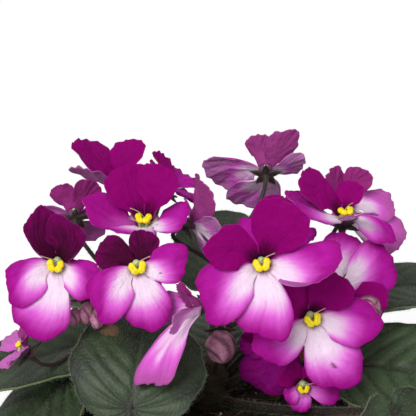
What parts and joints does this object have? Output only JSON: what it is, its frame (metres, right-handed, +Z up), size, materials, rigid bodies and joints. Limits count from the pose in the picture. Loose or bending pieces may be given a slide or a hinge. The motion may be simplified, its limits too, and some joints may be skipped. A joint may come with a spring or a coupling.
{
  "type": "potted african violet",
  "caption": "Flowering african violet in a plain tapered clay pot: a rosette of round scalloped leaves under a dense cluster of magenta and white blooms.",
  "frame": {"origin": "centre of the pot's underside, on the surface the pot stands on", "axes": "+Z up, -Y towards the viewer's side of the picture, +X to that viewer's right"},
  "size_m": [0.2119, 0.1789, 0.1985],
  "materials": {
    "clay": "unglazed fired clay",
    "potting_mix": "damp peat mix",
    "stem": "woody plant stem",
    "leaf": "hairy fleshy leaf",
    "petal": "velvety petal",
    "anther": "waxy pollen sac",
    "bud": "hairy closed bud",
    "stalk": "hairy flower stalk"
  },
  "bodies": {
    "root": {"pot": "clay", "potting_mix": "potting_mix", "crown": "stem", "leaf_front_left": "leaf", "leaf_left": "leaf", "leaf_left_low": "leaf", "leaf_right": "leaf", "leaf_right_upper": "leaf", "leaf_right_low": "leaf", "leaf_right_back": "leaf", "leaf_back_right": "leaf", "leaf_back": "leaf", "leaf_back_tall": "leaf", "leaf_back_left": "leaf", "leaf_left_back": "leaf", "bloom_left_front_petals": "petal", "bloom_left_front_anthers": "anther", "bloom_left_centre_petals": "petal", "bloom_left_centre_anthers": "anther", "bloom_left_upper_petals": "petal", "bloom_left_upper_anthers": "anther", "bloom_centre_petals": "petal", "bloom_centre_anthers": "anther", "bloom_right_front_petals": "petal", "bloom_right_front_anthers": "anther", "bloom_right_upper_petals": "petal", "bloom_right_upper_anthers": "anther", "bloom_right_back_petals": "petal", "bloom_right_back_anthers": "anther", "bloom_centre_back_petals": "petal", "bloom_centre_back_anthers": "anther", "bloom_left_back_petals": "petal", "bloom_left_back_anthers": "anther", "bloom_left_far_petals": "petal", "bloom_left_far_anthers": "anther", "bloom_top_back_petals": "petal", "bloom_top_back_anthers": "anther", "bloom_low_centre_petals": "petal", "bloom_low_centre_anthers": "anther", "bloom_mid_petals": "petal", "bloom_mid_anthers": "anther", "bloom_right_far_petals": "petal", "bloom_right_far_anthers": "anther", "bloom_low_right_petals": "petal", "bloom_low_right_anthers": "anther", "bloom_low_dark_petals": "petal", "bloom_low_dark_anthers": "anther", "bloom_far_left_low_petals": "petal", "bloom_far_left_low_anthers": "anther", "bloom_inner_petals": "petal", "bloom_inner_anthers": "anther", "buds_left": "bud", "bud_centre": "bud", "bud_right": "bud", "flower_stalk_left": "stalk", "flower_stalk_centre_left": "stalk", "flower_stalk_centre": "stalk", "flower_stalk_right": "stalk", "flower_stalk_low": "stalk"}
  },
  "joints": []
}
